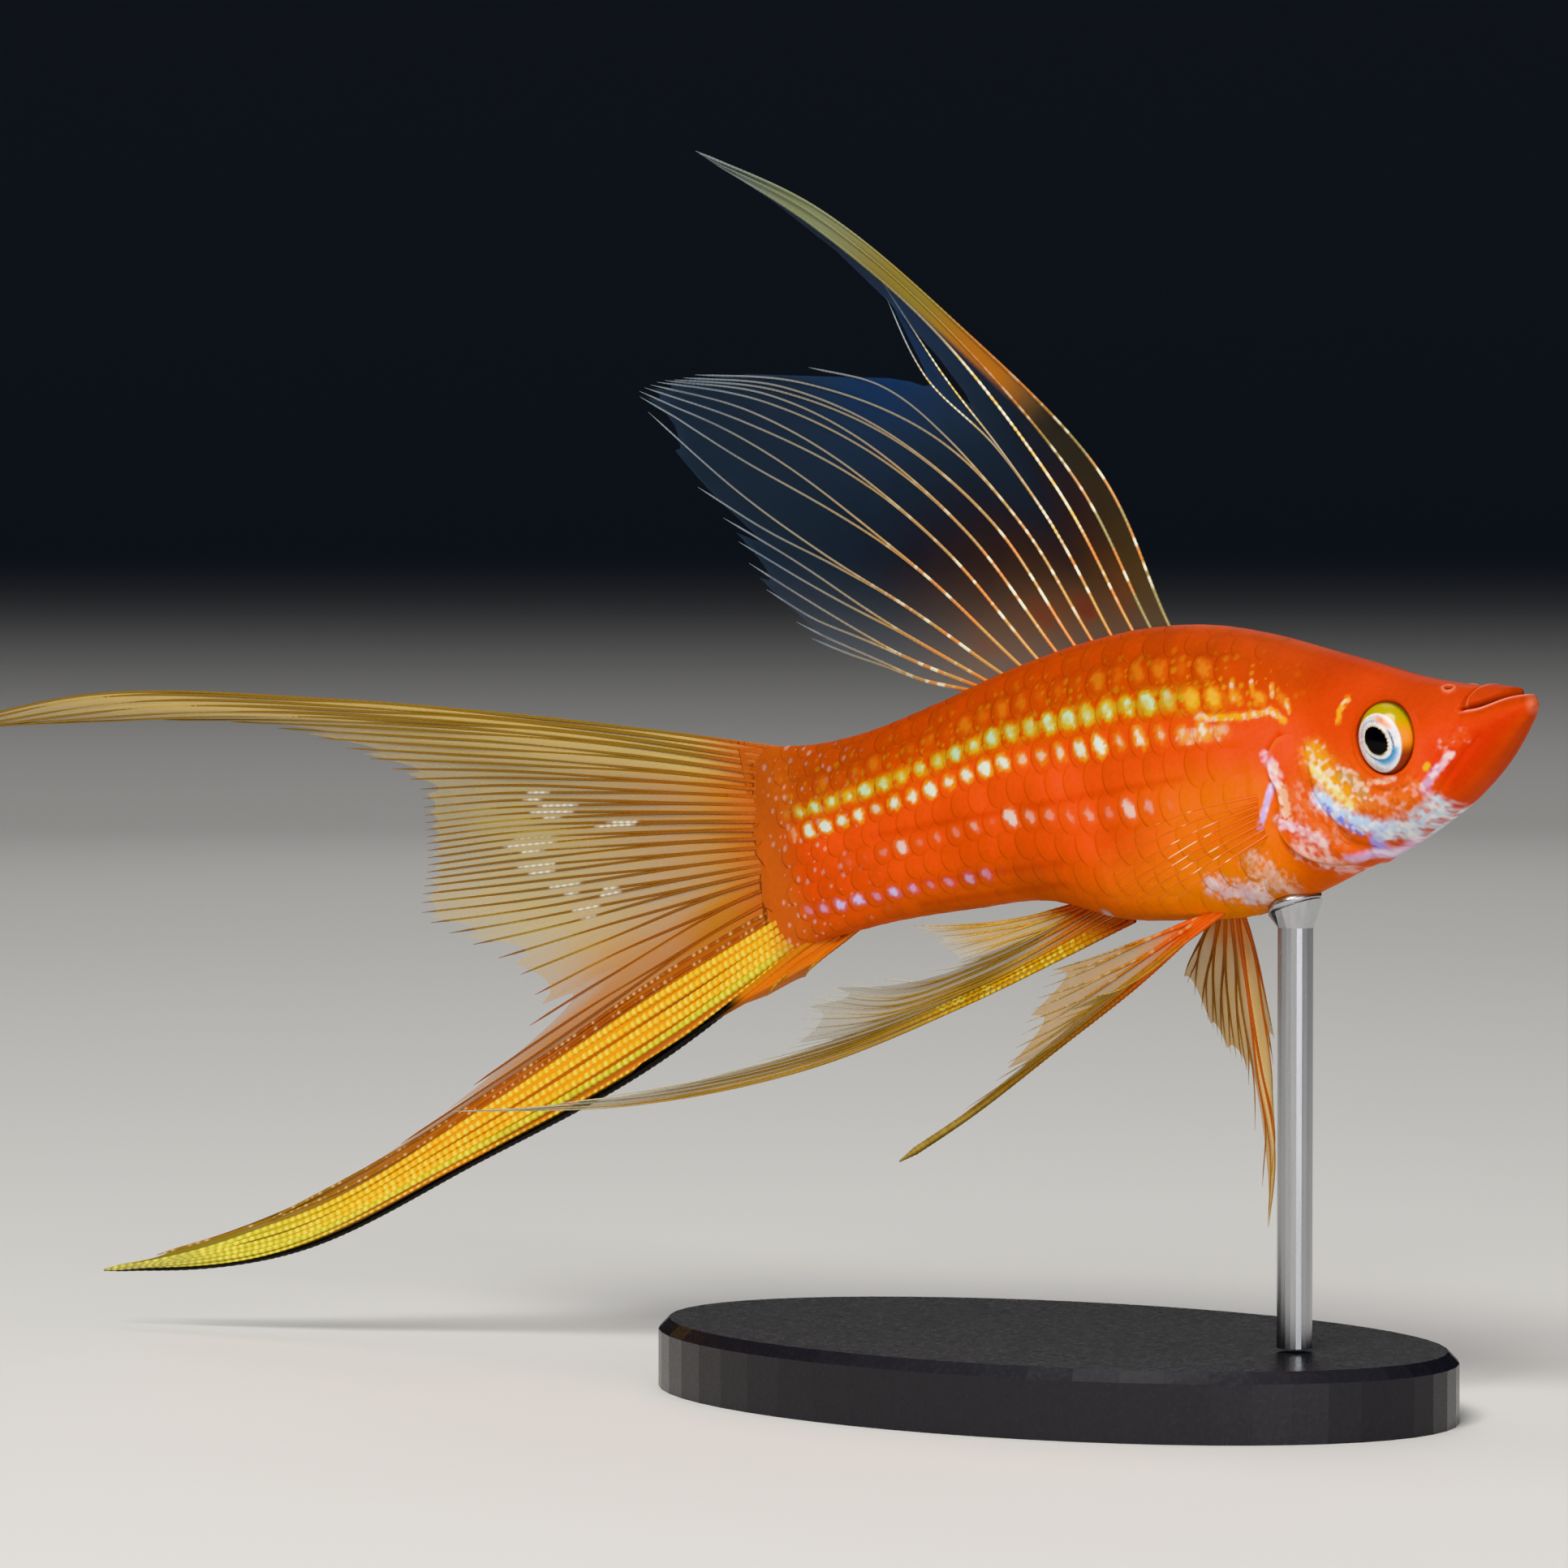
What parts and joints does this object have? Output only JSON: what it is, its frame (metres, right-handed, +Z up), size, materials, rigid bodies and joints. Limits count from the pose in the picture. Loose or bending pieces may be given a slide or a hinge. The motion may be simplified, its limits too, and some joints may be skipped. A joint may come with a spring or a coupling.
{
  "type": "swordtail fish model on a display stand",
  "caption": "Life-size red lyretail hi-fin swordtail, swimming, held by a belly rod on a flat oval stand.",
  "frame": {"origin": "centre of the flat underside of the stand's oval base", "axes": "+Z up, +X the way the fish's head points, -Y the side its right flank faces"},
  "size_m": [0.1468, 0.04, 0.0916],
  "materials": {
    "skin": "wet scaled skin, orange red, darker on the back, with rows of pearly scales",
    "gill_cover": "smooth bony plate under wet orange skin with silver and gold patches",
    "eye": "clear wet cornea over a silver and gold iris with a black pupil",
    "dorsal_fin": "clear membrane with amber rays",
    "tail_fin": "thin tan membrane with olive gold rays",
    "sword": "bright yellow beaded rays with a black lower edge",
    "lower_fins": "thin amber membrane with brown and gold rays",
    "clear_fin": "almost clear membrane with fine pale rays",
    "stand_base": "plain black satin plate",
    "stand_rod": "brushed steel rod"
  },
  "bodies": {
    "root": {"head": "skin", "torso": "skin", "tail_stem": "skin", "gill_cover_right": "gill_cover", "gill_cover_left": "gill_cover", "eye_right": "eye", "eye_left": "eye", "dorsal_streamer": "dorsal_fin", "dorsal_sail": "dorsal_fin", "caudal_fin_upper": "tail_fin", "caudal_fin_middle": "tail_fin", "caudal_fin_lower": "sword", "anal_fin": "lower_fins", "pelvic_fin_right": "lower_fins", "pelvic_fin_left": "lower_fins", "pectoral_fin_right": "clear_fin", "pectoral_fin_left": "clear_fin", "stand_base": "stand_base", "stand_rod": "stand_rod"}
  },
  "joints": []
}
